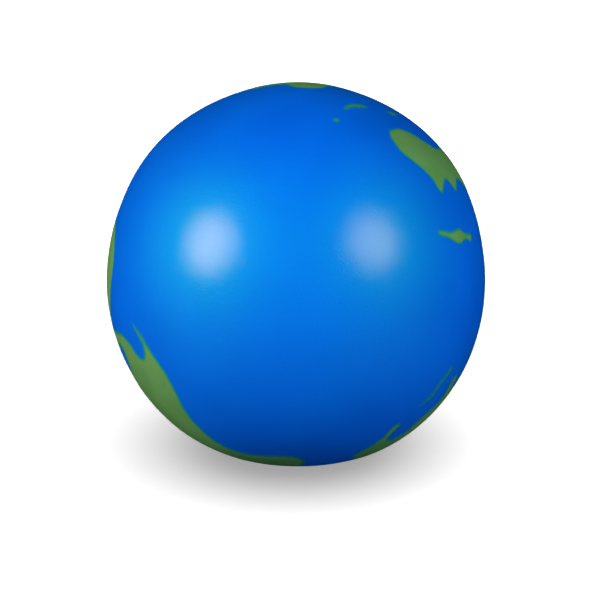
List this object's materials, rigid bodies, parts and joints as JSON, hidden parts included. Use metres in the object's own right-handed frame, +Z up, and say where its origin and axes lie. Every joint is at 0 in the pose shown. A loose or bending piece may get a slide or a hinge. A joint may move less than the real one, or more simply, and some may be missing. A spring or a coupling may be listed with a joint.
{
  "type": "stress ball",
  "caption": "Soft foam squeeze ball painted as a globe, satin blue sea and green land, lying with its south pole up. It is squeezed in the hand and springs back.",
  "frame": {"origin": "centre of the small flat patch on which the ball stands, on the table", "axes": "+Z up from the table, -Y the front, where the ocean faces the viewer, +X the viewer's right"},
  "size_m": [0.0632, 0.0631, 0.0629],
  "materials": {
    "foam": "open-celled pale polyurethane foam, matt",
    "blue_skin": "blue coat on a dense moulded foam skin, satin with a very fine grain",
    "land_paint": "green flexible paint, satin, with a soft teal edge where it thins out"
  },
  "bodies": {
    "ball_base": {"africa": "land_paint", "cuba": "land_paint", "eurasia": "land_paint", "foam_core": "foam", "great_britain": "land_paint", "greenland": "land_paint", "hispaniola": "land_paint", "iceland": "land_paint", "ireland": "land_paint", "japan": "land_paint", "north_america": "land_paint", "skin_lower": "blue_skin", "sri_lanka": "land_paint"},
    "ball_top": {"skin_upper": "blue_skin", "antarctica": "land_paint", "australia": "land_paint", "tasmania": "land_paint", "new_zealand_north": "land_paint", "new_zealand_south": "land_paint", "new_guinea": "land_paint", "south_america": "land_paint", "java": "land_paint", "borneo": "land_paint", "madagascar": "land_paint", "sumatra": "land_paint"}
  },
  "joints": [
    {"name": "squeeze", "type": "slide", "parent": "ball_base", "child": "ball_top", "axis": [0, 0, -1], "range_m": [0, 0.025], "stiffness_N_per_m": 2400, "deforming": ["africa", "cuba", "eurasia", "foam_core", "great_britain", "greenland", "hispaniola", "iceland", "ireland", "japan", "north_america", "skin_lower", "sri_lanka", "skin_upper", "antarctica", "australia", "tasmania", "new_zealand_north", "new_zealand_south", "new_guinea", "south_america", "java", "borneo", "madagascar", "sumatra"]}
  ]
}
